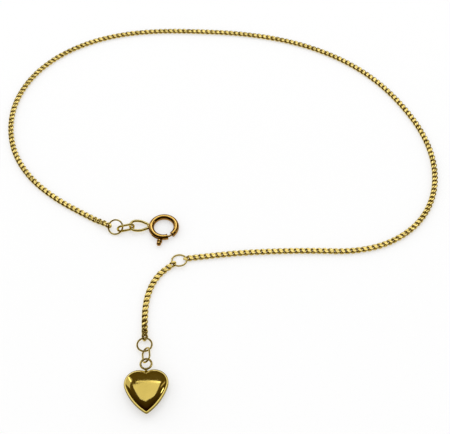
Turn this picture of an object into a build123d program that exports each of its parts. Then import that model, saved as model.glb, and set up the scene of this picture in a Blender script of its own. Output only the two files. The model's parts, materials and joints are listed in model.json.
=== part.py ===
"""A chain anklet, lying open on a table.

A fine curb chain of about 240 mm ends in a small ring at each end. A bolt ring clasp
hangs from the first ring on one connector link. A short extender chain leaves the other
ring and carries an end ring, a link and a puffed heart charm. The bolt ring's latch
slides round inside its tube.

Millimetres, +Z up. The origin is the centre of the whole anklet's footprint, on the table.
"""

from build123d import *
import os
from math import acos, cos, degrees, radians, sin, tan

os.makedirs("parts", exist_ok=True)

# ---------------------------------------------------------------- driving dimensions
# Curb chain: the envelope that its twisted links fill.
chain_width = 1.2
chain_thick = 0.8
bend_share = 0.45  # share of the shorter run that each bend's arc takes

# Round wire rings and long links.
ring_radius = 1.50  # to the middle of the wire
end_ring_radius = 1.40
ring_wire = 0.36
connector_length = 3.30  # to the middle of the wire
connector_width = 1.46
connector_wire = 0.48
charm_link_length = 3.30
charm_link_width = 1.88
charm_link_wire = 0.36

# Bolt ring clasp: a bent tube with a gap, a slot for its trigger and a soldered eyelet.
clasp_centre = (-11.38, -8.85, 0.62)
clasp_radius = 2.58  # to the middle of the tube
clasp_tube = 1.18
clasp_bore = 0.76
collar_tube = 1.24  # small collar at each mouth of the tube
collar_angle = 4
gap_from, gap_to = 290, 313  # degrees round the ring, counterclockwise from +X
slot_height = 0.50
eyelet_wire = 0.56
eyelet_big = 1.22  # radius of the round end
eyelet_small = 0.70  # radius of the soldered end
eyelet_spread = 1.93  # between the centres of the two ends
eyelet_heading = 180  # its long axis seen from above
eyelet_rise = 4.5
eyelet_root = (-14.50, -8.60)

# Latch: a bent pin inside the tube, moved by a trigger that stands out of the slot.
latch_wire = 0.42
latch_travel = 32  # degrees from closed to fully open
latch_seat = 5  # how far the tip enters the far mouth
latch_tail = 22  # how far the pin runs on behind the trigger
trigger_at = 258.5
trigger_neck = 0.32
trigger_ball = 0.58  # radius
ball_at = 3.66  # from the ring's centre to the ball's
ball_face = 3.26  # where the ball's flat face meets the neck
trigger_stem = 0.48  # radius of the domed end
trigger_reach = 4.76  # from the ring's centre to the end of the dome
slot_margin = 4.5  # degrees past the trigger's middle at each end

# Heart charm: two pressed halves soldered at a rim, with a ring bail soldered at the notch.
heart_tip = (-12.84, -50.80)
heart_turn = 3.3  # degrees counterclockwise from straight up +Y
heart_level = 1.35  # height of the rim's middle plane
heart_length = 8.82
lobe_radius = 2.73
lobe_spread = 1.39  # from the middle line to each lobe's centre
side_from = -18  # where a side leaves its lobe, in degrees from +X
tip_radius = 0.45
rim_thick = 0.30
heart_middle = 4.92  # the point that the dome's sections shrink towards
bail_radius = 1.03
bail_wire = 0.42
bail_level = 10.08  # from the tip to the middle of the bail
peg_width = 0.80

# Sections of the heart's dome and of the space inside it, from the rim up:
# share of the outline, height over the rim's middle plane.
DOME = [(0.95, 0.10), (0.92, 0.52), (0.80, 0.95), (0.58, 1.22), (0.28, 1.34)]
HOLLOW = [(0.88, 0.00), (0.85, 0.38), (0.73, 0.73), (0.52, 0.96), (0.24, 1.07)]

# Routes of the two chains seen from above, each from one ring to the next.
MAIN_ROUTE = [
    (-23.1, -8.45),
    (-28.6, -5.2),
    (-34.6, -1.4),
    (-40.6, 4.0),
    (-45.0, 10.9),
    (-47.1, 18.8),
    (-46.9, 27.0),
    (-44.0, 34.9),
    (-38.9, 41.3),
    (-32.2, 46.0),
    (-24.3, 49.0),
    (-15.0, 50.3),
    (-5.0, 50.1),
    (4.9, 49.4),
    (14.4, 47.5),
    (23.0, 44.2),
    (30.8, 39.3),
    (37.2, 33.0),
    (42.1, 25.4),
    (45.8, 16.9),
    (47.2, 8.1),
    (45.9, -0.7),
    (41.7, -8.1),
    (35.0, -13.0),
    (27.4, -14.9),
    (19.0, -14.6),
    (10.0, -14.8),
    (1.7, -15.4),
    (-6.2, -16.5),
]
EXTENDER_ROUTE = [
    (-9.3, -18.1),
    (-11.3, -19.6),
    (-13.1, -22.4),
    (-14.1, -26.0),
    (-14.3, -30.3),
    (-14.0, -34.5),
]


# ---------------------------------------------------------------- planes
def posed(centre, heading=0, rise=0, lean=0):
    """A plane at centre. Its X axis points along heading and climbs by rise degrees,
    and lean turns the plane about that axis."""
    plane = Plane(origin=centre).rotated((lean, 0, 0))
    return plane.rotated((0, -rise, 0)).rotated((0, 0, heading))


def clasp_section(angle):
    """A plane through the clasp's axis at this angle: X points outwards and Y up."""
    out = Vector(cos(radians(angle)), sin(radians(angle)), 0)
    return Plane(origin=clasp_centre, x_dir=out, z_dir=out.cross(Vector(0, 0, 1)))


clasp_axis = Axis(clasp_centre, (0, 0, 1))


# ---------------------------------------------------------------- the two chains
def chain_path(route):
    """Straight runs joined by the largest tangent arcs that the runs allow."""
    points = [Vector(x, y, chain_thick / 2) for x, y in route]
    steps = [b - a for a, b in zip(points, points[1:])]
    radii = []
    for before, after in zip(steps, steps[1:]):
        half_turn = radians(before.get_angle(after)) / 2
        radii.append(bend_share * min(before.length, after.length) / tan(half_turn))
    return points, steps, radii


def chain_envelope(name, route):
    """The flat band that one stretch of curb chain fills, swept along its route."""
    points, steps, radii = chain_path(route)
    with BuildPart() as band:
        with BuildLine() as path:
            FilletPolyline(*points, radius=radii)
        start = path.line @ 0
        ahead = path.line % 0
        across = ahead.cross(Vector(0, 0, 1))
        with BuildSketch(Plane(origin=start, x_dir=across, z_dir=ahead)) as section:
            SlotOverall(chain_width, chain_thick)
        sweep(path=path.line)
    length = path.wire().length
    print(name, "runs", [round(step.length, 1) for step in steps])
    print(name, "radii", [round(radius, 1) for radius in radii])
    share = band.part.volume / (section.sketch.area * length)
    print(name, "length", round(length, 2), "volume against section x length", round(share, 4))
    return band


main_chain = chain_envelope("main_chain", MAIN_ROUTE)
extender_chain = chain_envelope("extender_chain", EXTENDER_ROUTE)


# ---------------------------------------------------------------- rings and long links
def wire_ring(plane, radius):
    """A closed jump ring of round wire."""
    with BuildPart(plane) as ring:
        Torus(radius, ring_wire / 2)
    return ring


def long_link(plane, length, width, wire):
    """A link with straight sides and round ends, of round wire."""
    half = (length - width) / 2
    with BuildPart() as link:
        with BuildLine(plane) as loop:
            Line((-half, -width / 2), (half, -width / 2))
            CenterArc((half, 0), width / 2, -90, 180)
            Line((half, width / 2), (-half, width / 2))
            CenterArc((-half, 0), width / 2, 90, 180)
        with BuildSketch(Plane(origin=loop.line @ 0, z_dir=loop.line % 0)):
            Circle(wire / 2)
        sweep(path=loop.wire())
    return link


chain_end_ring = wire_ring(posed((-21.35, -9.07, 0.95), rise=8, lean=24.5), ring_radius)
middle_ring = wire_ring(posed((-7.95, -17.00, 0.42), lean=-8), ring_radius)
end_ring = wire_ring(posed((-13.98, -36.31, 0.65)), end_ring_radius)
connector_link = long_link(
    posed((-19.20, -9.28, 0.98), heading=14, lean=81),
    connector_length,
    connector_width,
    connector_wire,
)
charm_link = long_link(
    posed((-13.53, -38.75, 1.08), heading=-83, rise=16.3, lean=43.8),
    charm_link_length,
    charm_link_width,
    charm_link_wire,
)

# ---------------------------------------------------------------- bolt ring clasp
tube_turn = 360 - (gap_to - gap_from)
slot_from = trigger_at - latch_travel - slot_margin
slot_turn = latch_travel + 2 * slot_margin
side_turn = degrees(acos((eyelet_big - eyelet_small) / eyelet_spread))
root_reach = eyelet_small * cos(radians(eyelet_rise))
eyelet_base = (
    eyelet_root[0] + root_reach * cos(radians(eyelet_heading)),
    eyelet_root[1] + root_reach * sin(radians(eyelet_heading)),
    clasp_centre[2],
)

with BuildPart() as clasp_ring:
    # the bent tube, and a collar at each mouth
    with BuildSketch(clasp_section(gap_to)):
        with Locations((clasp_radius, 0)):
            Circle(clasp_tube / 2)
    revolve(axis=clasp_axis, revolution_arc=tube_turn)
    for mouth in (gap_to, gap_from - collar_angle):
        with BuildSketch(clasp_section(mouth)):
            with Locations((clasp_radius, 0)):
                Circle(collar_tube / 2)
        revolve(axis=clasp_axis, revolution_arc=collar_angle)
    # the eyelet: a round end and a narrow soldered end, joined by straight sides
    with BuildLine(posed(eyelet_base, eyelet_heading, eyelet_rise)) as eyelet:
        small = CenterArc((0, 0), eyelet_small, 180 - side_turn, 2 * side_turn)
        big = CenterArc((eyelet_spread, 0), eyelet_big, side_turn - 180, 360 - 2 * side_turn)
        Line(small @ 1, big @ 0)
        Line(big @ 1, small @ 0)
    with BuildSketch(Plane(origin=small @ 0, z_dir=small % 0)):
        Circle(eyelet_wire / 2)
    sweep(path=eyelet.wire())
    # the bore, right through from mouth to mouth
    with BuildSketch(clasp_section(gap_to)):
        with Locations((clasp_radius, 0)):
            Circle(clasp_bore / 2)
    revolve(axis=clasp_axis, revolution_arc=tube_turn, mode=Mode.SUBTRACT)
    # the slot that the trigger travels in
    with BuildSketch(clasp_section(slot_from)):
        with Locations((clasp_radius + clasp_tube / 2, 0)):
            Rectangle(clasp_tube, slot_height)
    revolve(axis=clasp_axis, revolution_arc=slot_turn, mode=Mode.SUBTRACT)

pin_from = trigger_at - latch_tail
pin_turn = gap_to + latch_seat - pin_from
ball_face_radius = (trigger_ball**2 - (ball_at - ball_face) ** 2) ** 0.5
stem_at = ball_at + (trigger_ball**2 - trigger_stem**2) ** 0.5
dome_at = trigger_reach - trigger_stem

with BuildPart() as clasp_latch:
    # the bent pin
    with BuildSketch(clasp_section(pin_from)):
        with Locations((clasp_radius, 0)):
            Circle(latch_wire / 2)
    revolve(axis=clasp_axis, revolution_arc=pin_turn)
    # the trigger: neck, ball and domed stem, turned about its own axis
    with BuildSketch(clasp_section(trigger_at)) as trigger:
        with BuildLine():
            Polyline(
                (clasp_radius, 0),
                (clasp_radius, trigger_neck / 2),
                (ball_face, trigger_neck / 2),
                (ball_face, ball_face_radius),
            )
            ThreePointArc(
                (ball_face, ball_face_radius), (ball_at, trigger_ball), (stem_at, trigger_stem)
            )
            Line((stem_at, trigger_stem), (dome_at, trigger_stem))
            ThreePointArc(
                (dome_at, trigger_stem),
                (dome_at + trigger_stem * sin(radians(45)), trigger_stem * cos(radians(45))),
                (trigger_reach, 0),
            )
            Line((trigger_reach, 0), (clasp_radius, 0))
        make_face()
    revolve(axis=Axis(clasp_centre, clasp_section(trigger_at).x_dir))

# ---------------------------------------------------------------- heart charm
heart_plane = posed((heart_tip[0], heart_tip[1], heart_level), heading=heart_turn)
heart_axis = Axis(heart_plane.origin, heart_plane.y_dir)
lobe_level = heart_length - lobe_radius
notch_level = lobe_level + (lobe_radius**2 - lobe_spread**2) ** 0.5
notch_angle = 180 - degrees(acos(lobe_spread / lobe_radius))


def heart_section(share, height):
    """A face of the outline, shrunk to this share towards the heart's middle."""

    def shrunk(x, y):
        return (share * x, heart_middle + share * (y - heart_middle))

    with BuildSketch(heart_plane.offset(height)) as section:
        with BuildLine():
            lobe = CenterArc(
                shrunk(lobe_spread, lobe_level),
                share * lobe_radius,
                notch_angle,
                side_from - notch_angle,
            )
            TangentArc(lobe @ 1, shrunk(0, 0), tangent=lobe % 1)
            mirror(about=Plane.YZ)
        make_face()
        fillet(section.vertices().sort_by(heart_axis)[0], share * tip_radius)
    return section.sketch.face()


def heart_dome(table):
    """Both halves of the form that this table of sections gives."""
    with BuildPart() as dome:
        loft(sections=[heart_section(share, height) for share, height in table])
        mirror(about=heart_plane)
    return dome


dome = heart_dome(DOME)
hollow = heart_dome(HOLLOW)
peg_length = bail_level - bail_radius - notch_level + bail_wire

with BuildPart() as heart_charm:
    # the rim, with the two domed halves
    extrude(to_extrude=heart_section(1, -rim_thick / 2), amount=rim_thick)
    add(dome.part)
    # the peg in the notch and the bail, soldered on
    with BuildSketch(heart_plane):
        with Locations((0, (notch_level + bail_level - bail_radius) / 2)):
            Rectangle(peg_width, peg_length)
    extrude(amount=rim_thick / 2, both=True)
    with Locations(heart_plane * Location((0, bail_level, 0))):
        Torus(bail_radius, bail_wire / 2)
    # the space between the two pressed halves
    add(hollow.part, mode=Mode.SUBTRACT)

# ---------------------------------------------------------------- write the pieces
pieces = {
    "main_chain": main_chain,
    "extender_chain": extender_chain,
    "chain_end_ring": chain_end_ring,
    "connector_link": connector_link,
    "clasp_ring": clasp_ring,
    "clasp_latch": clasp_latch,
    "middle_ring": middle_ring,
    "end_ring": end_ring,
    "charm_link": charm_link,
    "heart_charm": heart_charm,
}
for name, piece in pieces.items():
    piece.part.label = name
    export_step(piece.part, f"parts/{name}.step")
    print(name, "volume", round(piece.part.volume, 3), "mm3")
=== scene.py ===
# %% [markdown]
# # A gold chain anklet, link by link
# The anklet lies open on a pale table: a fine curb chain, three jump rings, a bolt ring clasp,
# a short extender and a puffed heart charm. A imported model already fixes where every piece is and
# how the clasp's latch moves. These cells rebuild each piece as a fine mesh in that same place,
# then give it metal, light and a camera.

# %% Load the fixed frame
import json
import math

import bpy
import numpy as np
from mathutils import Matrix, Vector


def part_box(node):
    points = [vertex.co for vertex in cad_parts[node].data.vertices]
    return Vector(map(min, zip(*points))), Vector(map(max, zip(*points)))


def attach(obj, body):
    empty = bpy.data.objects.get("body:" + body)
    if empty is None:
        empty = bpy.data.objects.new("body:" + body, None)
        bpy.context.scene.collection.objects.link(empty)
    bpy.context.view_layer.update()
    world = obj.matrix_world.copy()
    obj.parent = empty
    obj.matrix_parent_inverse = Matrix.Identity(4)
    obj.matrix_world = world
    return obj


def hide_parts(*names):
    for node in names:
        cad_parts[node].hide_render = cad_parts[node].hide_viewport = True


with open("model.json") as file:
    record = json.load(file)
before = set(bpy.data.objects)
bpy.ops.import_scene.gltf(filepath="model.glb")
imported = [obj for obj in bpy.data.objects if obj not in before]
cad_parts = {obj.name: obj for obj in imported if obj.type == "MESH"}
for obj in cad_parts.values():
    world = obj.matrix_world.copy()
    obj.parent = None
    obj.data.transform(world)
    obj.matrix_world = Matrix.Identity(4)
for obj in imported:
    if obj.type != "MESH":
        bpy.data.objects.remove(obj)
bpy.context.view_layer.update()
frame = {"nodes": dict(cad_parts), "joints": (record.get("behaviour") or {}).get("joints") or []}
MM = 0.001

# %% [markdown]
# ## The camera
# The view is close and steep, so near things look larger than far ones. A camera placed by its real
# height and distance gives that for free. It has no tilt to the side, and it stays sharp throughout.

# %% Camera
CAMERA_PLACE = (0.00131, -0.12135, 0.1582)
CAMERA_DOWN = 53.86  # degrees below the horizon
CAMERA_LENS = 74.72  # millimetres, on a sensor 36 wide

camera_data = bpy.data.cameras.new("camera")
camera_data.lens = CAMERA_LENS
camera_data.sensor_width = 36.0
camera_data.clip_start = 0.005
camera_data.clip_end = 20.0
camera = bpy.data.objects.new("camera", camera_data)
camera.location = CAMERA_PLACE
camera.rotation_euler = (math.radians(90 - CAMERA_DOWN), 0, 0)
bpy.context.scene.collection.objects.link(camera)
bpy.context.scene.camera = camera
print("camera at", [round(v, 4) for v in camera.location])

# %% [markdown]
# ## Making a piece from arrays
# Everything here is small, so the shapes are worked out in millimetres as numpy arrays and scaled to
# metres at the very end. That keeps the numbers readable, and keeps modifiers well away from the tiny
# lengths at which they start to merge points.


# %% Helpers: from vertices and faces to a piece
def on_globe(rises, turns):
    """Points of a ball of radius 1, ring by ring."""
    points = []
    for r in rises:
        points += [(math.cos(r) * math.cos(t), math.cos(r) * math.sin(t), math.sin(r)) for t in turns]
    return points


def joined(parts):
    """One list of vertices and faces from several."""
    vertices, faces, start = [], [], 0
    for part_vertices, part_faces in parts:
        vertices.append(part_vertices)
        faces += [tuple(start + i for i in face) for face in part_faces]
        start += len(part_vertices)
    return np.vstack(vertices), faces


def bands(starts, sides, upwards=True):
    """Faces between each ring of vertices and the next. starts are the numbers of their first vertices.

    upwards: the rings run anticlockwise as seen from the side they are stacked towards.
    """
    faces = []
    for low, high in zip(starts, starts[1:]):
        for j in range(sides):
            k = (j + 1) % sides
            face = (low + j, low + k, high + k, high + j)
            faces.append(face if upwards else face[:1] + face[:0:-1])
    return faces


def fan(point, start, sides, upwards=True):
    """Triangles that close a ring of vertices at one point."""
    around = [(start + j, start + (j + 1) % sides) for j in range(sides)]
    return [(point, a, b) if upwards else (point, b, a) for a, b in around]


def mesh_object(name, part):
    """A mesh object. The corners of each face run anticlockwise as seen from outside."""
    vertices, faces = part
    mesh = bpy.data.meshes.new(name)
    mesh.from_pydata([tuple(v) for v in vertices], [], faces)
    mesh.validate()
    thing = bpy.data.objects.new(name, mesh)
    bpy.context.scene.collection.objects.link(thing)
    return thing


def bake_modifiers(thing):
    """Replaces the object's mesh by what its modifiers make of it."""
    graph = bpy.context.evaluated_depsgraph_get()
    made = bpy.data.meshes.new_from_object(thing.evaluated_get(graph))
    thing.modifiers.clear()
    thing.data = made


def fused(name, parts):
    """Closed parts that overlap, as one skin, the way solder makes them one piece."""
    whole = mesh_object(name, parts[0])
    for part in parts[1:]:
        other = mesh_object(name + "_part", part)
        union = whole.modifiers.new("union", "BOOLEAN")
        union.operation = "UNION"
        union.solver = "EXACT"
        union.object = other
        bake_modifiers(whole)
        bpy.data.objects.remove(other)
    return whole


def finish_piece(thing, material, body, node, crease=40):
    """Scales to metres, sets the creases and material, ties the piece to its body and hides its CAD
    node.
    """
    thing.data.transform(Matrix.Scale(MM, 4))
    thing.data.shade_smooth()
    thing.data.set_sharp_from_angle(angle=math.radians(crease))
    thing.data.materials.clear()
    thing.data.materials.append(material)
    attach(thing, body)
    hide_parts(node)
    low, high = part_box(node)
    print(thing.name, len(thing.data.polygons), "faces, size in mm",
          [round(v / MM, 2) for v in thing.dimensions], "CAD", [round(v / MM, 2) for v in high - low])


# %% [markdown]
# ## Round wire
# Most of the anklet is drawn wire, bent. A wire is a circle carried along a line of points. Each
# circle needs to know which way is up, or it would spin as the line turns, so every point of the line
# brings its own up direction.

# %% Helper: wire
CAP_RINGS = np.radians([80, 55, 28])  # latitudes of the rings that dome an open end


def unit(vectors):
    return vectors / np.linalg.norm(vectors, axis=-1, keepdims=True)


def full_turn(count):
    """Evenly spaced angles once round."""
    return np.linspace(0, 2 * math.pi, count, endpoint=False)


def wire(points, ups, radius, sides=16, closed=True, dome=1.0):
    """Round wire along points. An open wire's ends are domed, by this share of its radius."""
    ups = np.broadcast_to(np.asarray(ups, float), points.shape)
    radii = np.broadcast_to(np.asarray(radius, float), len(points)).copy()
    if closed:
        ahead = unit(np.roll(points, -1, 0) - np.roll(points, 1, 0))
    else:
        ahead = unit(np.gradient(points, axis=0))
        caps = []
        for end, sign in ((0, -1), (-1, 1)):
            steps = sign * dome * ahead[end] * radii[end]
            caps.append(points[end] + np.sin(CAP_RINGS)[:, None] * steps)
        points = np.vstack([caps[0], points, caps[1][::-1]])
        sizes = np.cos(CAP_RINGS)
        radii = np.concatenate([radii[0] * sizes, radii, radii[-1] * sizes[::-1]])
        added = ((len(sizes), len(sizes)), (0, 0))
        ahead, ups = np.pad(ahead, added, mode="edge"), np.pad(ups, added, mode="edge")
    out = unit(np.cross(ahead, ups))
    up = np.cross(out, ahead)
    turn = full_turn(sides)
    circle = out[:, None] * np.cos(turn)[None, :, None] + up[:, None] * np.sin(turn)[None, :, None]
    vertices = (points[:, None] + radii[:, None, None] * circle).reshape(-1, 3)
    count = len(points)
    starts = [i * sides for i in range(count)] + [0] * closed
    faces = bands(starts, sides, upwards=False)
    if not closed:
        faces.append(tuple(range(sides)))
        faces.append(tuple((count - 1) * sides + j for j in reversed(range(sides))))
    return vertices, faces


# %% [markdown]
# ## Reading the frame
# A ring or a long link is flat, so three directions say how it lies: along it, across it and out of
# its plane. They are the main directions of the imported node's own points, which a singular value
# decomposition gives. The sizes come from the same points, so nothing is measured twice.


# %% Helper: how a flat node lies
def lie_of(node):
    """Centre, directions (rows: along, across, out) and half extents of a flat CAD node, in mm."""
    points = np.array([v.co for v in frame["nodes"][node].data.vertices]) / MM
    points = np.unique(points.round(5), axis=0)
    directions = np.linalg.svd(points - points.mean(0), full_matrices=False)[2]
    if directions[2][2] < 0:
        directions[2] *= -1
    directions[0] = np.cross(directions[1], directions[2])
    local = points @ directions.T
    centre = (local.max(0) + local.min(0)) / 2 @ directions
    return centre, directions, (local.max(0) - local.min(0)) / 2


for node in ("chain_end_ring", "middle_ring", "end_ring", "connector_link", "charm_link"):
    centre, directions, half = lie_of(node)
    print(node, "centre", centre.round(2), "out", directions[2].round(2), "half", half.round(2))

# %% [markdown]
# ## Gold
# Polished gold has almost no colour of its own making: it tints what it reflects. What makes it look
# real is small: hair scratches from wear and a faint haze where fingers were. Shade is painted into the
# colour as well: where surfaces meet, on the sides of the wires and low between the links. Each of
# these is a node group, so that every piece can use it with its own values.


# %% Helpers: node groups and nodes
def new_group(name, inputs, output):
    """A shader node group with float inputs (name, value) and one float output."""
    group = bpy.data.node_groups.new(name, "ShaderNodeTree")
    for socket, value in inputs:
        item = group.interface.new_socket(name=socket, in_out="INPUT", socket_type="NodeSocketFloat")
        item.default_value = value
    group.interface.new_socket(name=output, in_out="OUTPUT", socket_type="NodeSocketFloat")
    return group, group.nodes.new("NodeGroupInput"), group.nodes.new("NodeGroupOutput")


def number(nodes, operation, first, second):
    """A Math node. Each operand is a socket or a number."""
    node = nodes.new("ShaderNodeMath")
    node.operation = operation
    for socket, value in zip(node.inputs, (first, second)):
        if isinstance(value, (int, float)):
            socket.default_value = value
        else:
            node.id_data.links.new(value, socket)
    return node.outputs[0]


def set_inputs(node, values):
    """Sets a node's inputs, by name or number, and returns the node."""
    for socket, value in values.items():
        node.inputs[socket].default_value = value
    return node


# %% [markdown]
# ### Hair scratches
# A scratch is a long thin thing, so noise that is squeezed one way and stretched the other reads as
# scratches. Two layers at different angles cross each other, as real ones do.

# %% Node group: hair_scratches
scratches, given, put = new_group("hair_scratches", [("Density", 9000.0)], "Height")
nodes, links = scratches.nodes, scratches.links
place = nodes.new("ShaderNodeTexCoord")
layers = []
for turn, stretch in ((0.5, 0.06), (2.1, 0.10)):
    lying = {"Rotation": (0.35, 0.2, turn), "Scale": (stretch, 1, 1)}
    mapping = set_inputs(nodes.new("ShaderNodeMapping"), lying)
    noise = set_inputs(nodes.new("ShaderNodeTexNoise"), {"Detail": 3.0})
    links.new(place.outputs["Object"], mapping.inputs["Vector"])
    links.new(mapping.outputs["Vector"], noise.inputs["Vector"])
    links.new(given.outputs["Density"], noise.inputs["Scale"])
    layers.append(noise.outputs["Fac"])
links.new(number(nodes, "MULTIPLY", layers[0], layers[1]), put.inputs["Height"])

# %% [markdown]
# ### Handling haze
# Finger marks and old polish leave soft patches a millimetre or so wide, where the metal is a little
# less mirror-like. Plain noise with its middle pulled apart gives the patches.

# %% Node group: handling_haze
haze, given, put = new_group("handling_haze", [("Size", 900.0)], "Mask")
nodes, links = haze.nodes, haze.links
place = nodes.new("ShaderNodeTexCoord")
noise = set_inputs(nodes.new("ShaderNodeTexNoise"), {"Detail": 4.0})
spread = set_inputs(nodes.new("ShaderNodeMapRange"), {"From Min": 0.38, "From Max": 0.66})
links.new(place.outputs["Object"], noise.inputs["Vector"])
links.new(given.outputs["Size"], noise.inputs["Scale"])
links.new(noise.outputs["Fac"], spread.inputs["Value"])
links.new(spread.outputs["Result"], put.inputs["Mask"])

# %% [markdown]
# ### Painted shade where surfaces meet
# The colour is painted darker where surfaces meet, as the shade that falls there. The Ambient Occlusion
# node looks around each point for its own metal close by. Where it finds much of it, the point lies in
# a hollow and gets the painted shade.

# %% Node group: painted shade where surfaces meet
hollow_shade, given, put = new_group("painted_hollow_shade", [("Reach", 0.0003)], "Mask")
nodes, links = hollow_shade.nodes, hollow_shade.links
around = nodes.new("ShaderNodeAmbientOcclusion")
around.only_local = True
around.samples = 8
links.new(given.outputs["Reach"], around.inputs["Distance"])
# Painted shade: the more metal close around a point, the darker its colour.
closeness = set_inputs(nodes.new("ShaderNodeMapRange"), {"From Min": 0.85, "From Max": 0.35})
links.new(around.outputs["AO"], closeness.inputs["Value"])
links.new(closeness.outputs["Result"], put.inputs["Mask"])

# %% [markdown]
# ### Painted shade on the sides and low down
# The sides of every wire are painted browner than the top, as the shade and dark reflections that fall
# there. The surface's own normal tells which way it faces: the more it faces sideways, the browner it
# is. Metal that lies lower, between the links, is painted darker too, as the shade between them, and
# there a point's height is what counts. Both are a z that falls from one value to another, so one
# function makes both groups.


# %% Node groups: painted shade on the sides and low down
def mask_by_z(name, coordinate, share, clear, full):
    """A group whose mask grows as z falls from clear to full, which are each (socket's name, value)."""
    group, given, put = new_group(name, [("Share", share), clear, full], "Mask")
    nodes, links = group.nodes, group.links
    place = nodes.new("ShaderNodeTexCoord")
    parts = nodes.new("ShaderNodeSeparateXYZ")
    links.new(place.outputs[coordinate], parts.inputs["Vector"])
    falling = nodes.new("ShaderNodeMapRange")
    falling.interpolation_type = "SMOOTHSTEP"
    links.new(given.outputs[clear[0]], falling.inputs["From Min"])
    links.new(given.outputs[full[0]], falling.inputs["From Max"])
    links.new(parts.outputs["Z"], falling.inputs["Value"])
    mask = number(nodes, "MULTIPLY", falling.outputs["Result"], given.outputs["Share"])
    links.new(mask, put.inputs["Mask"])
    return group


# Painted shade on the sides: the more a surface faces sideways, the browner its colour.
side_shade = mask_by_z("painted_side_shade", "Normal", 1.0, ("Side Shade Starts", 0.9), ("Side Shade Full", 0.45))
# Painted shade low down: metal that lies lower, between the links, gets a darker colour.
painted_low_shade = mask_by_z("painted_low_shade", "Object", 0.0, ("Low Shade Starts", 0.00064), ("Low Shade Full", 0.00048))
print("node groups", [g.name for g in (scratches, haze, hollow_shade, side_shade, painted_low_shade)])

# %% [markdown]
# ### The metal itself
# One function makes every gold on the anklet. The shader's own colour is mixed by the masks from clean
# gold and a darker colour, which stands for the haze's brown and for the painted shade. Its roughness
# rises with the haze, and the scratches feed a very shallow bump.
# Chain, wire, clasp and heart each have a gold of their own: the clasp's is the reddest and the
# wire's the palest.

# %% Helper: gold
SCRATCH_DEPTH = 0.000005
SCRATCH_STRENGTH = 0.6
COLOUR_A, COLOUR_B, COLOUR_OUT = 6, 7, 2  # the Mix node's sockets for colours
HAZE_TONE, HAZE_ROUGHNESS = 0.12, 0.08  # how much the haze browns and dulls the metal


def gold(name, clean, shade_and_haze_colour, polish, haze_size, side_shade_share, side_shade_starts, side_shade_full_at, low_shade_share=0.0):
    """A gold finish, mixed from its clean colour and a darker one. polish is the cleanest metal's
    roughness.

    The darker colour is the haze's brown and painted shade together. After haze_size, three numbers say
    how much shade is painted on the sides, and how far up a surface faces (1 is straight up) where that
    painted shade begins and where it is full. The last is how much shade is painted on the low parts of
    a chain.
    """
    material = bpy.data.materials.new(name)
    material.use_nodes = True
    nodes, links = material.node_tree.nodes, material.node_tree.links
    shader = set_inputs(nodes["Principled BSDF"], {"Metallic": 1.0})
    placed = {}
    for group, values in (
        (scratches, {}),
        (haze, {"Size": haze_size}),
        (hollow_shade, {}),
        (painted_low_shade, {"Share": low_shade_share}),
        (side_shade, {"Share": side_shade_share, "Side Shade Starts": side_shade_starts, "Side Shade Full": side_shade_full_at}),
    ):
        node = nodes.new("ShaderNodeGroup")
        node.node_tree = group
        placed[group.name] = set_inputs(node, values).outputs[0]
    # Where the darker colour goes: a little with the haze, and fully where shade is painted.
    shade_and_haze_share = number(nodes, "MULTIPLY", placed["handling_haze"], HAZE_TONE)
    for mask in ("painted_hollow_shade", "painted_low_shade", "painted_side_shade"):
        shade_and_haze_share = number(nodes, "MAXIMUM", shade_and_haze_share, placed[mask])
    colour = nodes.new("ShaderNodeMix")
    colour.data_type = "RGBA"
    set_inputs(colour, {COLOUR_A: (*clean, 1), COLOUR_B: (*shade_and_haze_colour, 1)})
    links.new(shade_and_haze_share, colour.inputs["Factor"])
    links.new(colour.outputs[COLOUR_OUT], shader.inputs["Base Color"])
    rough = number(nodes, "MULTIPLY", placed["handling_haze"], HAZE_ROUGHNESS)
    rough = number(nodes, "ADD", rough, polish)
    links.new(rough, shader.inputs["Roughness"])
    bump = nodes.new("ShaderNodeBump")
    set_inputs(bump, {"Distance": SCRATCH_DEPTH, "Strength": SCRATCH_STRENGTH})
    links.new(placed["hair_scratches"], bump.inputs["Height"])
    links.new(bump.outputs["Normal"], shader.inputs["Normal"])
    return material


# %% The four golds
# Each gold's second colour is its darker one: the haze's brown and the painted shade.
YELLOW_GOLD, CHAIN_SHADE_AND_HAZE = (0.96, 0.77, 0.26), (0.34, 0.20, 0.003)
WIRE_GOLD, WIRE_SHADE_AND_HAZE = (0.97, 0.81, 0.32), (0.52, 0.36, 0.02)
RED_GOLD, CLASP_SHADE_AND_HAZE = (0.93, 0.61, 0.17), (0.27, 0.11, 0.004)
HEART_GOLD, HEART_SHADE_AND_HAZE = (0.88, 0.68, 0.17), (0.20, 0.140, 0.012)

# The last numbers of each gold say how much shade is painted on the sides and low down.
chain_gold = gold("filed_chain", YELLOW_GOLD, CHAIN_SHADE_AND_HAZE, polish=0.14, haze_size=700.0,
                  side_shade_share=0.5, side_shade_starts=0.70, side_shade_full_at=0.25, low_shade_share=0.5)
wire_gold = gold("drawn_wire", WIRE_GOLD, WIRE_SHADE_AND_HAZE, polish=0.13, haze_size=600.0,
                 side_shade_share=0.9, side_shade_starts=0.86, side_shade_full_at=0.40)
clasp_gold = gold("bolt_ring", RED_GOLD, CLASP_SHADE_AND_HAZE, polish=0.11, haze_size=500.0,
                  side_shade_share=0.85, side_shade_starts=0.99, side_shade_full_at=0.84)
heart_gold = gold("stamped_heart", HEART_GOLD, HEART_SHADE_AND_HAZE, polish=0.06, haze_size=260.0,
                  side_shade_share=0.9, side_shade_starts=0.50, side_shade_full_at=0.12)
print("materials", [m.name for m in (chain_gold, wire_gold, clasp_gold, heart_gold)])

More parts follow.
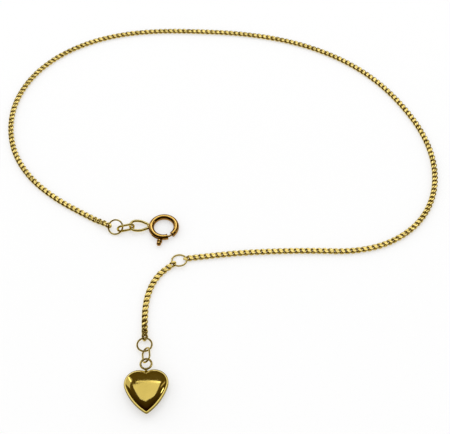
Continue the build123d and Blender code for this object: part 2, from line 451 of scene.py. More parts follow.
# %% [markdown]
# ## One curb link
# A curb link starts as an oval of round wire. Twisted about its length, its two ends stand at an angle
# to each other, and that is what lets a row of links lie flat. The finished chain is then filed and
# buffed on both faces, so every link shows a soft crown that flashes. Here the oval is a line of
# points, the twist turns each point by its distance from the middle, and the filing presses
# everything past a certain height down towards it. Neighbouring links still run a little into each
# other where they hook.

# %% The link
LINK_PITCH = 1.15
LINK_WIRE = 0.50
LINK_WIDTH = 1.30
LINK_TWIST = 74.0  # degrees at each end
TWIST_SHAPE = 0.85  # under 1, the twist is quicker near the middle
LINK_EXTRA = 0.02  # length over pitch and wire together
FILED_TOP = (0.22, 0.10)  # height where filing starts, and how soft the crown is
FILED_UNDER = (0.24, 0.13)
LINK_POINTS = 30
LINK_SIDES = 14


def oval(length, width, count):
    """Points of a stadium outline, evenly spaced, by the middle of its wire."""
    radius = width / 2
    straight = length - width
    around = 2 * straight + math.pi * width
    points = []
    for i in range(count):
        s = around * i / count
        side, s = divmod(s, around / 2)
        sign = 1 - 2 * side
        if s < straight:
            x, y = s - straight / 2, -radius
        else:
            angle = (s - straight) / radius - math.pi / 2
            x, y = straight / 2 + radius * math.cos(angle), radius * math.sin(angle)
        points.append((sign * x, sign * y))
    return np.array(points)


def curb_link(twist):
    """A twisted and ground link about its own centre: x along the chain, y across, z up."""
    length = LINK_PITCH + LINK_WIRE + LINK_EXTRA
    flat = oval(length, LINK_WIDTH - LINK_WIRE, LINK_POINTS)
    share = flat[:, 0] / (length / 2)
    angle = np.radians(twist) * np.sign(share) * np.abs(share) ** TWIST_SHAPE
    turned = np.c_[flat[:, 0], flat[:, 1] * np.cos(angle), flat[:, 1] * np.sin(angle)]
    ups = np.c_[np.zeros(len(angle)), -np.sin(angle), np.cos(angle)]
    vertices, faces = wire(turned, ups, LINK_WIRE / 2, LINK_SIDES)
    for sign, (start, soft) in ((1, FILED_TOP), (-1, FILED_UNDER)):
        over = np.clip(sign * vertices[:, 2] - start, 0, None)
        vertices[:, 2] -= sign * (over - soft * (1 - np.exp(-over / soft)))
    return vertices, faces


link_vertices, link_faces = curb_link(LINK_TWIST)
print("link", np.ptp(link_vertices, axis=0).round(2), "mm,", len(link_faces), "faces")

# %% [markdown]
# ## Where the chain lies
# The route is a short list of points, the same that the frame's solid follows. A NURBS line with those
# points as its control points bends smoothly. The links sit along that line at an even spacing.

# %% The two routes, in metres
MAIN_ROUTE = [
    (-0.0231, -0.00845), (-0.0286, -0.0052), (-0.0346, -0.0014), (-0.0406, 0.0040),
    (-0.0450, 0.0109), (-0.0471, 0.0188), (-0.0469, 0.0270), (-0.0440, 0.0349),
    (-0.0389, 0.0413), (-0.0322, 0.0460), (-0.0243, 0.0490), (-0.0150, 0.0503),
    (-0.0050, 0.0501), (0.0049, 0.0494), (0.0144, 0.0475), (0.0230, 0.0442),
    (0.0308, 0.0393), (0.0372, 0.0330), (0.0421, 0.0254), (0.0458, 0.0169),
    (0.0472, 0.0081), (0.0459, -0.0007), (0.0417, -0.0081), (0.0350, -0.0130),
    (0.0274, -0.0149), (0.0190, -0.0146), (0.0100, -0.0148), (0.0017, -0.0154),
    (-0.0062, -0.0165),
]
EXTENDER_ROUTE = [
    (-0.0093, -0.0181), (-0.0113, -0.0196), (-0.0131, -0.0224), (-0.0141, -0.0260),
    (-0.0143, -0.0303), (-0.0140, -0.0345),
]
CHAIN_LEVEL = 0.0004


# %% Helper: the smooth line through a route
def smooth_line(name, route):
    """Points in mm along a NURBS line that has the route as its control points."""
    curve = bpy.data.curves.new(name, "CURVE")
    curve.dimensions = "3D"
    spline = curve.splines.new("NURBS")
    spline.points.add(len(route) - 1)
    for point, (x, y) in zip(spline.points, route):
        point.co = (x, y, CHAIN_LEVEL, 1)
    spline.order_u = 3
    spline.use_endpoint_u = True
    spline.resolution_u = 24
    thing = bpy.data.objects.new(name, curve)
    mesh = bpy.data.meshes.new_from_object(thing)
    line = np.array([v.co for v in mesh.vertices]) / MM
    bpy.data.objects.remove(thing)
    length = np.linalg.norm(np.diff(line, axis=0), axis=1).sum()
    print(name, "line is", round(length, 1), "mm long")
    return line


# %% [markdown]
# ## Hooking the ends
# At each end of a stretch the last link holds a jump ring's wire in its bend. So the first and last
# links are placed from the rings, and the rest share what is left. Where a ring stands higher than the
# chain, the last few links climb to it.

# %% Helper: laying the links along a line
LINK_ROLL, LINK_NOD = 2.2, 1.2  # degrees, how unevenly the links lie
LOOK_AHEAD = 0.3  # the line's direction at a link is taken this far to each side


def hook_of(node, towards):
    """The point of a ring's wire that is nearest to towards, by the middle of the wire."""
    centre, directions, half = lie_of(node)
    flat = (towards - centre) @ directions.T
    flat[2] = 0
    middle = half[0] - half[2]
    return centre + unit(flat) * middle @ directions


def turned_towards(first, second, angle):
    """Two directions at right angles, turned together so that the first moves towards the second."""
    cosine, sine = math.cos(angle), math.sin(angle)
    return first * cosine + second * sine, second * cosine - first * sine


def lay_links(name, line, first_ring, last_ring, climb, twists, seed):
    """Links from one ring to the other.

    climb gives, for each end, the length that rises to the ring. twists are the last links' own.
    """
    steps = np.linalg.norm(np.diff(line, axis=0), axis=1)
    run = np.concatenate([[0], np.cumsum(steps)])
    rings = [hook_of(first_ring, line[0]), hook_of(last_ring, line[-1])]
    ring_wire = lie_of(first_ring)[2][2]
    hold = LINK_PITCH / 2 - ring_wire
    gaps = [np.linalg.norm((ring - end)[:2]) for ring, end in zip(rings, (line[0], line[-1]))]
    start, stop = hold - gaps[0], run[-1] - hold + gaps[1]
    count = round((stop - start) / LINK_PITCH) + 1
    places = np.linspace(start, stop, count)

    def point(s):
        """The line's point at this distance, and beyond its ends straight on."""
        inside = np.clip(s, 0, run[-1])
        found = np.array([np.interp(inside, run, line[:, k]) for k in range(3)])
        over = s - inside
        if over:
            end = line[1] - line[0] if over < 0 else line[-1] - line[-2]
            found = found + unit(end) * over
        for ring, length, far in ((rings[0], climb[0], s - start), (rings[1], climb[1], stop - s)):
            if far < length:
                found[2] += (ring[2] - found[2]) * 0.5 * (1 + math.cos(math.pi * max(far, 0) / length))
        return found

    random = np.random.default_rng(seed)
    parts = []
    for index, s in enumerate(places):
        from_end = min(index, count - 1 - index)
        twist = twists[from_end] if from_end < len(twists) and index > count / 2 else LINK_TWIST
        local, faces = curb_link(twist)
        ahead = unit(point(s + LOOK_AHEAD) - point(s - LOOK_AHEAD))
        side = unit(np.cross((0, 0, 1), ahead))
        up = np.cross(ahead, side)
        roll, nod = np.radians(random.normal(0, (LINK_ROLL, LINK_NOD)))
        side, up = turned_towards(side, up, roll)
        ahead, up = turned_towards(ahead, up, nod)
        link = point(s) + local @ np.array([ahead, side, up])
        link[:, 2] += max(0.0, -link[:, 2].min())  # a rolled link still rests on the table
        parts.append((link, faces))
    print(name, count, "links, spacing", round(places[1] - places[0], 4), "mm")
    return mesh_object(name, joined(parts))


# %% The main chain
main_line = smooth_line("main_chain", MAIN_ROUTE)
main_links = lay_links(
    "main_chain_links", main_line, "chain_end_ring", "middle_ring",
    climb=(4.0, 1.0), twists=(74, 70, 64), seed=3,
)
finish_piece(main_links, chain_gold, "anklet", "main_chain")

# %% The extender chain
extender_line = smooth_line("extender_chain", EXTENDER_ROUTE)
extender_links = lay_links(
    "extender_chain_links", extender_line, "middle_ring", "end_ring",
    climb=(1.0, 3.0), twists=(64, 60), seed=8,
)
finish_piece(extender_links, chain_gold, "anklet", "extender_chain")

# %% [markdown]
# ## Jump rings
# A jump ring is one turn of wire, cut and pushed shut, so it isn't quite a torus: the cut leaves a
# hairline groove where its two ends meet. An open wire whose nearly flat ends almost touch gives that
# groove.

# %% The three jump rings
SEAM = 0.012  # gap between a jump ring's ends


def jump_ring(node, seam_at):
    """One turn of wire where the node lies, with its seam at this angle in degrees."""
    centre, directions, half = lie_of(node)
    radius = half[0] - half[2]
    gap = SEAM / radius
    turn = math.radians(seam_at) + np.linspace(gap / 2, 2 * math.pi - gap / 2, 97)
    flat = radius * np.c_[np.cos(turn), np.sin(turn), np.zeros(len(turn))]
    part = wire(centre + flat @ directions, directions[2], half[2], 20, closed=False, dome=0.12)
    finish_piece(mesh_object(node + "_wire", part), wire_gold, "anklet", node)


for node, seam_at in (("chain_end_ring", 130), ("middle_ring", 75), ("end_ring", 200)):
    jump_ring(node, seam_at)

# %% [markdown]
# ## Long links
# The two long links are soldered shut, and the solder leaves a faint swelling on one side. The wire's
# radius may change along its length, so the swelling is a small bell-shaped rise in it.

# %% The two long links
SOLDER_RISE = 0.07  # share of the wire's radius
SOLDER_LENGTH = 0.22


def long_link(node, solder_at):
    """A stadium of wire where the node lies, soldered at this share of its way round."""
    centre, directions, half = lie_of(node)
    flat = oval(2 * (half[0] - half[2]), 2 * (half[1] - half[2]), 96)
    steps = np.linalg.norm(flat - np.roll(flat, 1, 0), axis=1)
    away = np.cumsum(steps) - solder_at * steps.sum()
    radii = half[2] * (1 + SOLDER_RISE * np.exp(-((away / SOLDER_LENGTH) ** 2)))
    points = centre + np.c_[flat, np.zeros(len(flat))] @ directions
    part = wire(points, directions[2], radii, 20)
    finish_piece(mesh_object(node + "_wire", part), wire_gold, "anklet", node)


for node, solder_at in (("connector_link", 0.12), ("charm_link", 0.62)):
    long_link(node, solder_at)

# %% [markdown]
# ## The clasp's tube
# The bolt ring is sheet rolled into a tube and bent round, so it has a wall, a seam along the inside,
# a thicker collar at each mouth and a slot for the trigger. A grid that runs round the ring and round
# the tube follows all of that. The slot is a patch of the grid left out, a second grid inside makes
# the wall, and wherever a face has no neighbour a strip closes the two grids together.

# %% The tube
CLASP_CENTRE = np.array(frame["joints"][0]["pos_m"]) / MM
CLASP_RADIUS = 2.58
TUBE_RADIUS = 0.59
BORE_RADIUS = 0.38
EDGE_ROUND = 0.03
SLIVER = 0.004  # the bevel leaves slivers this thin at the slot's corners, which a weld closes
MOUTH_FROM, MOUTH_TO = 290.0, 313.0
SLOT_FROM, SLOT_TO = 222.0, 263.0
SLOT_HALF = 0.25
SEAM_DEPTH = 0.014
COLUMN_STEP, SLOT_COLUMN_STEP, ROW_STEP, SLOT_ROW_STEP = 2.8, 2.4, 11, 9  # degrees
SEAM_ROWS = [175, 180, 185]
COLLAR = [(0, 0.598), (0.5, 0.616), (1.1, 0.62), (3.3, 0.62), (3.9, 0.614), (4.2, 0.595), (4.8, 0.59)]

tube_turn = 360 - (MOUTH_TO - MOUTH_FROM)
slot_edge = math.degrees(math.asin(SLOT_HALF / TUBE_RADIUS))
slot_round = math.degrees(SLOT_HALF / (CLASP_RADIUS + TUBE_RADIUS))


def radial(degrees):
    """Unit vectors out of the clasp's axis at these angles."""
    turn = np.radians(degrees)
    return np.stack([np.cos(turn), np.sin(turn), np.zeros_like(turn)], -1)


def between(first, last, step):
    """Evenly spaced values from first up to last, which is left out."""
    return np.linspace(first, last, max(2, round((last - first) / step) + 1))[:-1]


collar_at = np.array([at for at, _ in COLLAR])
slot_in = np.array([SLOT_FROM, SLOT_TO]) + 360 - MOUTH_TO
columns = np.concatenate([
    collar_at[:-1],
    between(collar_at[-1], slot_in[0], COLUMN_STEP),
    between(*slot_in, SLOT_COLUMN_STEP),
    between(slot_in[1], tube_turn - collar_at[-1], COLUMN_STEP),
    (tube_turn - collar_at)[::-1],
])
rows = np.concatenate([
    between(-slot_edge, slot_edge, SLOT_ROW_STEP),
    between(slot_edge, SEAM_ROWS[0], ROW_STEP),
    SEAM_ROWS[:-1],
    between(SEAM_ROWS[-1], 360 - slot_edge, ROW_STEP),
])
from_mouth = np.minimum(columns, tube_turn - columns)
tube_radii = np.interp(from_mouth, collar_at, [r for _, r in COLLAR])
row_turn, column_turn = np.meshgrid(rows, columns)
sizes = np.broadcast_to(tube_radii[:, None], row_turn.shape) - SEAM_DEPTH * (row_turn == SEAM_ROWS[1])

# Bend the columns near the slot's ends, so that the slot ends in half circles. The bend fades out over
# these degrees round the tube and along it.
BEND_ROWS, BEND_COLUMNS = 50, 12
from_middle = np.minimum(row_turn % 360, 360 - row_turn % 360)
inset = slot_round * (1 - np.sqrt(np.clip(1 - (from_middle / slot_edge) ** 2, 0, 1)))
beyond = slot_round * np.clip(1 - (from_middle - slot_edge) / BEND_ROWS, 0, 1)
inset = np.where(from_middle > slot_edge, beyond, inset)
for edge, sign in zip(slot_in, (1, -1)):
    nearness = np.clip(1 - np.abs(column_turn - edge) / BEND_COLUMNS, 0, 1)
    column_turn = column_turn + sign * inset * nearness


def tube_grid(radii):
    """The grid's points at these tube radii."""
    outwards = CLASP_RADIUS + radii * np.cos(np.radians(row_turn))
    points = CLASP_CENTRE + outwards[..., None] * radial(MOUTH_TO + column_turn)
    points[..., 2] += radii * np.sin(np.radians(row_turn))
    return points.reshape(-1, 3)


in_slot = (columns[:-1] >= slot_in[0]) & (columns[:-1] < slot_in[1])
slot_rows = np.arange(len(rows)) < np.argmin(np.abs(rows - slot_edge))
skin = []
for i in range(len(columns) - 1):
    for j in range(len(rows)):
        k = (j + 1) % len(rows)
        if not (in_slot[i] and slot_rows[j]):
            first, second = i * len(rows), (i + 1) * len(rows)
            skin.append((first + j, second + j, second + k, first + k))
sides_of_faces = {(face[n - 1], face[n]) for face in skin for n in range(4)}
inside = columns.size * rows.size
closing = [(b, a, a + inside, b + inside) for a, b in sides_of_faces if (b, a) not in sides_of_faces]
lining = [tuple(inside + corner for corner in reversed(face)) for face in skin]
tube_points = np.vstack([tube_grid(sizes), tube_grid(np.full_like(sizes, BORE_RADIUS))])
tube = mesh_object("clasp_ring_tube", (tube_points, skin + lining + sorted(closing)))
edges = tube.modifiers.new("edges", "BEVEL")
edges.width = EDGE_ROUND
edges.segments = 2
edges.angle_limit = math.radians(50)
weld = tube.modifiers.new("weld", "WELD")
weld.merge_threshold = SLIVER
bake_modifiers(tube)
print("tube", len(tube.data.polygons), "faces")

# %% [markdown]
# ## The clasp's eyelet
# A teardrop of wire with bowed sides stands out of the tube and is soldered to it. The solder leaves a
# small smooth mound, which is a squashed ball here, and a union makes ball and wire one skin. The
# eyelet is yellower than the tube, so it stays a piece of its own, its root sunk in the tube's wall.

# %% The eyelet
EYELET_ROOT = (-14.50, -8.60)
EYELET_HEADING = 180.0
EYELET_RISE = 4.5
EYELET_WIRE = 0.28
EYELET_BIG, EYELET_SMALL, EYELET_SPREAD = 1.22, 0.70, 1.93
EYELET_BULGE, BULGE_SHAPE = 0.16, 1.3  # how far the long sides bow out, and how gently they start to
SIDES_START = -0.19  # where the long sides leave the small end
SOLDER_OUT, SOLDER_RADII = 0.06, (0.27, 0.50, 0.31)


def teardrop(big, small, spread, count):
    """A round end at x = spread and a small end at 0, joined by straight sides."""
    turn = math.acos((big - small) / spread)
    small_end = np.linspace(math.pi - turn, math.pi + turn, count)
    big_end = np.linspace(turn - math.pi, math.pi - turn, 3 * count)
    points = [(small * math.cos(t), small * math.sin(t)) for t in small_end]
    points += [(spread + big * math.cos(t), big * math.sin(t)) for t in big_end]
    points.append(points[0])
    points = np.array(points)
    run = np.concatenate([[0], np.cumsum(np.linalg.norm(np.diff(points, axis=0), axis=1))])
    even = np.linspace(0, run[-1], 5 * count, endpoint=False)
    return np.c_[np.interp(even, run, points[:, 0]), np.interp(even, run, points[:, 1])]


def ball(centre, directions, radii, sides=24):
    """A squashed ball, with its radii along the given directions."""
    turn = full_turn(sides)
    rise = np.linspace(-math.pi / 2, math.pi / 2, sides // 2 + 1)[1:-1]
    vertices = np.array([(0, 0, -1), *on_globe(rise, turn), (0, 0, 1)]) * radii
    last = len(vertices) - 1
    faces = fan(0, 1, sides, upwards=False)
    faces += bands(range(1, last, sides), sides) + fan(last, last - sides, sides)
    return centre + vertices @ np.array(directions), faces


heading, rise = math.radians(EYELET_HEADING), math.radians(EYELET_RISE)
level_out = np.array([math.cos(heading), math.sin(heading), 0])
eyelet_out = level_out * math.cos(rise) + (0, 0, math.sin(rise))
eyelet_side = np.array([-math.sin(heading), math.cos(heading), 0])
eyelet_up = np.cross(eyelet_out, eyelet_side)
root = np.array([*EYELET_ROOT, CLASP_CENTRE[2]])
base = root + EYELET_SMALL * math.cos(rise) * level_out
drop = teardrop(EYELET_BIG, EYELET_SMALL, EYELET_SPREAD, 24)
along = np.clip((drop[:, 0] - SIDES_START) / (EYELET_SPREAD - SIDES_START), 0, 1)
drop[:, 1] += np.sign(drop[:, 1]) * EYELET_BULGE * np.sin(math.pi * along) ** BULGE_SHAPE
eyelet_points = base + drop[:, :1] * eyelet_out + drop[:, 1:] * eyelet_side
eyelet = wire(eyelet_points, eyelet_up, EYELET_WIRE, 18)
solder = ball(root + SOLDER_OUT * eyelet_out, (eyelet_out, eyelet_side, eyelet_up), SOLDER_RADII)
loop = fused("clasp_ring_eyelet", [eyelet, solder])
finish_piece(loop, wire_gold, "anklet", "clasp_ring", crease=35)
finish_piece(tube, clasp_gold, "anklet", "clasp_ring", crease=35)

# %% [markdown]
# ## The clasp's latch
# Inside the tube a bent pin slides round against a spring. A turned trigger is fixed to it through the
# slot: a thin neck, a ball that the fingernail pulls, and a domed stem. Anything turned on a lathe is
# a profile carried round its axis.

# %% The latch
PIN_RADIUS = 0.21
PIN_FROM, PIN_TO = 238.5, 316.0
TRIGGER_AT = 258.5
TRIGGER_PROFILE = [
    (2.58, 0.16), (3.20, 0.16), (3.24, 0.18), (3.255, 0.32), (3.28, 0.375), (3.33, 0.455),
    (3.40, 0.515), (3.52, 0.562), (3.66, 0.58), (3.80, 0.562), (3.90, 0.525), (3.97, 0.487),
    (4.01, 0.462), (4.06, 0.462), (4.12, 0.476), (4.20, 0.48), (4.36, 0.474), (4.48, 0.44),
    (4.60, 0.365), (4.68, 0.27), (4.735, 0.15),
]
TRIGGER_END = 4.76


def lathe(profile, end, origin, axis, side, sides=32):
    """The profile (distance along the axis, radius) turned about the axis, closed at end."""
    across = np.cross(axis, side)
    turn = full_turn(sides)
    circle = np.cos(turn)[:, None] * side + np.sin(turn)[:, None] * across
    vertices = [origin + at * axis + radius * circle for at, radius in profile]
    vertices = np.vstack([*vertices, [origin + end * axis]])
    last = len(vertices) - 1
    faces = [tuple(reversed(range(sides)))]
    faces += bands(range(0, last, sides), sides) + fan(last, last - sides, sides)
    return vertices, faces


pin_turn = np.linspace(PIN_FROM, PIN_TO, 40)
pin_points = CLASP_CENTRE + CLASP_RADIUS * radial(pin_turn)
pin = wire(pin_points, (0, 0, 1), PIN_RADIUS, 20, closed=False, dome=0.5)
trigger = lathe(
    TRIGGER_PROFILE, TRIGGER_END, CLASP_CENTRE, radial(TRIGGER_AT), np.array([0.0, 0.0, 1.0])
)
latch = fused("clasp_latch_body", [pin, trigger])
finish_piece(latch, clasp_gold, "latch", "clasp_latch", crease=35)

# %% [markdown]
# ## The heart's outline
# Seen from above the heart is two round lobes, two slightly bowed sides and a small round tip. All of
# it is arcs, so the outline is worked out from a few radii. It is then kept as one number, how far the
# edge is from the heart's middle in each direction, because the dome needs the outline at many sizes.

# %% Outline
HEART_TIP = (-12.84, -50.80)
HEART_TURN = 3.3
HEART_LEVEL = 1.35
HEART_MIDDLE = 4.92
HEART_LENGTH = 8.82
LOBE_RADIUS, LOBE_SPREAD = 2.73, 1.39
SIDE_FROM = -18.0
TIP_RADIUS = 0.45
HEART_SIDES = 288

lobe_level = HEART_LENGTH - LOBE_RADIUS
notch_turn = 180 - math.degrees(math.acos(LOBE_SPREAD / LOBE_RADIUS))
lobe = LOBE_RADIUS * radial(np.linspace(notch_turn, SIDE_FROM, 120))[:, :2] + (LOBE_SPREAD, lobe_level)
leaving = np.array([math.sin(math.radians(SIDE_FROM)), -math.cos(math.radians(SIDE_FROM))])
chord = -lobe[-1]
half_bow = math.acos(leaving @ chord / np.linalg.norm(chord))
side_radius = np.linalg.norm(chord) / (2 * math.sin(half_bow))
side_centre = lobe[-1] + side_radius * np.array([leaving[1], -leaving[0]])
tip_rise = math.sqrt((side_radius - TIP_RADIUS) ** 2 - side_centre[0] ** 2)
tip_centre = np.array([0, side_centre[1] - tip_rise])
tip_turn = math.degrees(math.atan2(*(tip_centre - side_centre)[::-1]))
side = side_radius * radial(np.linspace(SIDE_FROM, tip_turn, 120))[:, :2] + side_centre
tip = TIP_RADIUS * radial(np.linspace(tip_turn, -90, 20))[:, :2] + tip_centre
right_half = np.vstack([lobe, side[1:], tip[1:]]) - (0, HEART_MIDDLE)

directions = full_turn(HEART_SIDES) + math.pi / 2
edge_turn = np.arctan2(right_half[:, 0], right_half[:, 1])
edge_reach = np.linalg.norm(right_half, axis=1)
from_top = np.abs((directions - math.pi / 2 + math.pi) % (2 * math.pi) - math.pi)
reach = np.interp(from_top, edge_turn, edge_reach)
notch_level = HEART_MIDDLE + reach[0]
print("heart", round(2 * right_half[:, 0].max(), 2), "wide; notch at", round(notch_level, 2), "mm")

# %% [markdown]
# ## The heart's dome
# Each half is pressed from thin sheet: a steep wall at the rim, then a full, soft crown. The notch is
# sharp at the rim and fades out before the middle, because sheet can't keep a crease there. So each
# ring of the dome mixes the true outline with a blurred one, more and more of it towards the middle.

# %% The two halves
RIM_HALF = 0.15
CROWN = 1.34
DOME_SHARE = 0.972
DOME_POWER, DOME_ROOT = 2.7, 2.2
DOME_RINGS = 30
CROWN_SHIFT = -0.7  # the highest point lies this far towards the tip
BLUR = 24.0  # degrees
FADE_FROM, FADE_TO = 0.97, 0.35
RIM_PROFILE = [(0.976, 0.144), (0.988, 0.148), (0.996, 0.138), (1.0, 0.10)]
NOTCH_LEDGE = 0.26  # how far the dome steps back from the rim at the notch
NOTCH_LEDGE_TURN = 26.0  # degrees to each side
NOTCH_LEDGE_FADE = 8  # as a power, so that the ledge is gone before the middle

spacing = 360 / HEART_SIDES
offsets = np.arange(-HEART_SIDES // 2, HEART_SIDES // 2)
weights = np.exp(-0.5 * (offsets * spacing / BLUR) ** 2)
weights /= weights.sum()
blurred = np.array([np.dot(weights, np.roll(reach, -i)[offsets]) for i in range(HEART_SIDES)])


def heart_ring(share, level):
    """One closed ring of the heart, at this share of the way out and height over the rim's middle."""
    fade = np.clip((FADE_FROM - share) / (FADE_FROM - FADE_TO), 0, 1)
    fade = fade * fade * (3 - 2 * fade)
    out = share * (reach * (1 - fade) + blurred * fade)
    if share <= DOME_SHARE:
        near_notch = np.exp(-((np.degrees(from_top) / NOTCH_LEDGE_TURN) ** 2))
        out = out - NOTCH_LEDGE * share**NOTCH_LEDGE_FADE * near_notch
    middle = HEART_MIDDLE + CROWN_SHIFT * (1 - share**2)
    return np.c_[out * np.cos(directions), middle + out * np.sin(directions), np.full(len(out), level)]


shares = DOME_SHARE * np.sin(np.linspace(0, math.pi / 2, DOME_RINGS))[1:]
levels = RIM_HALF + (CROWN - RIM_HALF) * (1 - (shares / DOME_SHARE) ** DOME_POWER) ** (1 / DOME_ROOT)
upper = list(zip(shares, levels)) + RIM_PROFILE
profile = upper + [(share, -level) for share, level in reversed(upper)]
rings = [heart_ring(share, level) for share, level in profile]
crowns = [[0, HEART_MIDDLE + CROWN_SHIFT, sign * CROWN] for sign in (1, -1)]
heart_points = np.vstack([crowns[0], *rings, crowns[1]])
last = len(heart_points) - 1
heart_faces = fan(0, 1, HEART_SIDES)
heart_faces += bands(range(1, last, HEART_SIDES), HEART_SIDES, upwards=False)
heart_faces += fan(last, last - HEART_SIDES, HEART_SIDES, upwards=False)

# %% [markdown]
# ## The heart's bail
# A small ring is soldered into the notch on a short neck, for the link to hang in. The neck flares at
# both ends where the solder ran, and is flattened to sit on the rim.

# %% Bail and neck
BAIL_RADIUS = 1.03
BAIL_WIRE = 0.21
BAIL_LEVEL = 10.08
BAIL_POINTS = 72
NECK_PROFILE = [(-0.25, 0.46), (0.0, 0.40), (0.12, 0.30), (0.28, 0.25), (0.42, 0.30), (0.52, 0.38)]
NECK_FLATTEN = 0.62

heart_x, heart_y, heart_up = np.eye(3)
bail_points = BAIL_RADIUS * radial(np.degrees(full_turn(BAIL_POINTS))) + (0, BAIL_LEVEL, 0)
bail = wire(bail_points, heart_up, BAIL_WIRE, 18)
neck = lathe(NECK_PROFILE, 0.60, np.array([0, notch_level, 0]), heart_y, heart_x, 24)
neck[0][:, 2] *= NECK_FLATTEN
heart = fused("heart_charm_body", [(heart_points, heart_faces), neck])
hoop = mesh_object("heart_charm_bail", bail)
heart_turned = Matrix.Rotation(math.radians(HEART_TURN), 4, "Z")
heart_place = Matrix.Translation((*HEART_TIP, HEART_LEVEL)) @ heart_turned
for thing, metal in ((heart, heart_gold), (hoop, wire_gold)):
    thing.data.transform(heart_place)
    finish_piece(thing, metal, "anklet", "heart_charm", crease=45)

# %% [markdown]
# ## Table and room
# Gold is judged by what it mirrors. In front of plain white it would look flat and pale, so jewellery
# is shot inside dark cards with a few soft lamps between them: the cards give the deep browns and the
# lamps the bright bands. The table itself stays white, and so does the room behind it. Part of the
# table's brightness is a glow of its own, which keeps the shadow faint.

# %% Table and room
TABLE_SIZE = 8.0
TABLE_COLOUR = 0.56
TABLE_GLOW = 0.475
ROOM_LEVEL = 0.75


def stage_mesh(name, part):
    """A piece of the stage from points and faces in metres."""
    thing = mesh_object(name, part)
    return thing


def reflected_only(thing):
    """Leaves a card to reflections: it hides nothing and casts no shadow."""
    for rays in ("camera", "diffuse", "shadow", "transmission", "volume_scatter"):
        setattr(thing, "visible_" + rays, False)


def matte(name, colour, glow_colour, glow):
    """A matte colour with a glow of its own."""
    material = bpy.data.materials.new(name)
    material.use_nodes = True
    values = {"Base Color": (*colour, 1), "Roughness": 0.9, "Specular IOR Level": 0.0}
    values |= {"Emission Color": (*glow_colour, 1), "Emission Strength": glow}
    set_inputs(material.node_tree.nodes["Principled BSDF"], values)
    return material


half = TABLE_SIZE / 2
corners = [(-half, -half, 0), (half, -half, 0), (half, half, 0), (-half, half, 0)]
table = stage_mesh("table", (corners, [(0, 1, 2, 3)]))
table_white = matte("white_table", (TABLE_COLOUR,) * 3, (1, 1, 1), TABLE_GLOW)
table.data.materials.append(table_white)

world = bpy.data.worlds.new("room")
world.use_nodes = True
nodes, links = world.node_tree.nodes, world.node_tree.links
path = nodes.new("ShaderNodeLightPath")
seen = number(nodes, "MAXIMUM", path.outputs["Is Camera Ray"], path.outputs["Is Glossy Ray"])
seen = number(nodes, "MAXIMUM", seen, path.outputs["Is Transmission Ray"])
level = set_inputs(nodes.new("ShaderNodeMapRange"), {"To Min": ROOM_LEVEL})
links.new(seen, level.inputs["Value"])
links.new(level.outputs["Result"], nodes["Background"].inputs["Strength"])
nodes["Background"].inputs["Color"].default_value = (1, 1, 1, 1)
bpy.context.scene.world = world
bpy.context.scene.view_settings.view_transform = "Standard"

# %% [markdown]
# ## Dark cards
# The cards make a tent that only reflections can see. It is dim and warm at the back and nearly black
# around the camera. A small flag stands just behind the heart and hides the back lamp from it alone, so
# that the heart's far slope stays dark while the chain beyond still flashes.

# %% Tent and flag
TENT_RADIUS = 3.2
TENT_RINGS, TENT_SIDES = 24, 64
TENT_FROM = 1.0  # degrees over the table
CARD_BACK = (0.090, 0.063, 0.014)
CARD_FRONT = (0.014, 0.004, 0.0008)

tent_rise = np.radians(np.linspace(TENT_FROM, 90, TENT_RINGS))[:-1]
tent_points = [*on_globe(tent_rise, full_turn(TENT_SIDES)), (0, 0, 1)]
peak = len(tent_points) - 1
tent_faces = bands(range(0, peak, TENT_SIDES), TENT_SIDES) + fan(peak, peak - TENT_SIDES, TENT_SIDES)
tent = stage_mesh("dark_tent", (np.array(tent_points) * TENT_RADIUS, tent_faces))
card = matte("dark_card", (0, 0, 0), CARD_BACK, 1.0)
nodes, links = card.node_tree.nodes, card.node_tree.links
place = nodes.new("ShaderNodeTexCoord")
parts = nodes.new("ShaderNodeSeparateXYZ")
middle_half = {"From Min": -TENT_RADIUS / 2, "From Max": TENT_RADIUS / 2}
fading = set_inputs(nodes.new("ShaderNodeMapRange"), middle_half)
glow = nodes.new("ShaderNodeValToRGB")
glow.color_ramp.elements[0].color = (*CARD_FRONT, 1)
glow.color_ramp.elements[1].color = (*CARD_BACK, 1)
links.new(place.outputs["Object"], parts.inputs["Vector"])
links.new(parts.outputs["Y"], fading.inputs["Value"])
links.new(fading.outputs["Result"], glow.inputs["Fac"])
links.new(glow.outputs["Color"], nodes["Principled BSDF"].inputs["Emission Color"])
tent.data.materials.append(card)
reflected_only(tent)

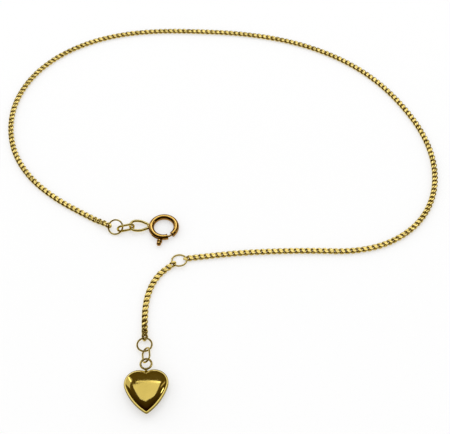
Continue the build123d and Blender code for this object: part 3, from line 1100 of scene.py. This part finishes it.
FLAG_BEHIND = 0.018
FLAG_LEFT, FLAG_RIGHT = 0.0125, 0.0150
FLAG_LOW, FLAG_HIGH = 0.0060, 0.0261
flag_x = HEART_TIP[0] * MM
flag_y = (HEART_TIP[1] + HEART_MIDDLE) * MM + FLAG_BEHIND
west, east = flag_x - FLAG_LEFT, flag_x + FLAG_RIGHT
corners = [(west, flag_y, FLAG_LOW), (east, flag_y, FLAG_LOW)]
corners += [(east, flag_y, FLAG_HIGH), (west, flag_y, FLAG_HIGH)]
flag = stage_mesh("heart_flag", (corners, [(0, 1, 2, 3)]))
flag.data.materials.append(matte("flag_card", (0, 0, 0), CARD_BACK, 1.0))
reflected_only(flag)

# %% [markdown]
# ## Lamps
# Each lamp is given as the anklet sees it, between two azimuths and two elevations. A wide one makes
# a broad bright area on a round wire, and a narrow one a thin streak.

# %% Soft lamps
LAMP_DISTANCE = 1.5
LEAST_WIDTH = 0.4  # a lamp high up narrows with its elevation, down to this share


def soft_lamp(name, azimuth, elevation, radiance, colour=(1, 1, 1)):
    """A rectangular lamp between two azimuths and two elevations, in degrees, facing the anklet.

    Azimuth 0 is behind the anklet, at +Y, and 90 is at its left.
    """
    turn, rise = math.radians(sum(azimuth) / 2), math.radians(sum(elevation) / 2)
    wide, high = math.radians(azimuth[1] - azimuth[0]), math.radians(elevation[1] - elevation[0])
    lamp = bpy.data.lights.new(name, "AREA")
    lamp.shape = "RECTANGLE"
    lamp.size = 2 * LAMP_DISTANCE * math.tan(wide / 2) * max(math.cos(rise), LEAST_WIDTH)
    lamp.size_y = 2 * LAMP_DISTANCE * math.tan(high / 2)
    lamp.energy = radiance * math.pi * lamp.size * lamp.size_y
    lamp.color = colour
    thing = bpy.data.objects.new(name, lamp)
    turned = Matrix.Rotation(turn, 4, "Z") @ Matrix.Rotation(rise, 4, "X")
    facing_back = Matrix.Rotation(math.radians(270), 4, "X")
    thing.matrix_world = turned @ Matrix.Translation((0, LAMP_DISTANCE, 0)) @ facing_back
    thing.visible_camera = False
    bpy.context.scene.collection.objects.link(thing)
    print(name, "at", [round(v, 2) for v in thing.matrix_world.translation],
          "m, size", round(lamp.size, 2), "x", round(lamp.size_y, 2))


soft_lamp("top_softbox", (-34, 50), (58, 84), 0.74)
soft_lamp("back_softbox", (-27, 22), (38, 58), 1.30)
soft_lamp("left_window", (37, 70), (4, 47), 0.54)
soft_lamp("left_strip", (39, 42), (12, 46), 1.60)
soft_lamp("right_window", (-60, -50), (32, 56), 0.50, (1.0, 0.90, 0.75))
soft_lamp("right_spot", (-91, -82), (25, 35), 3.4)
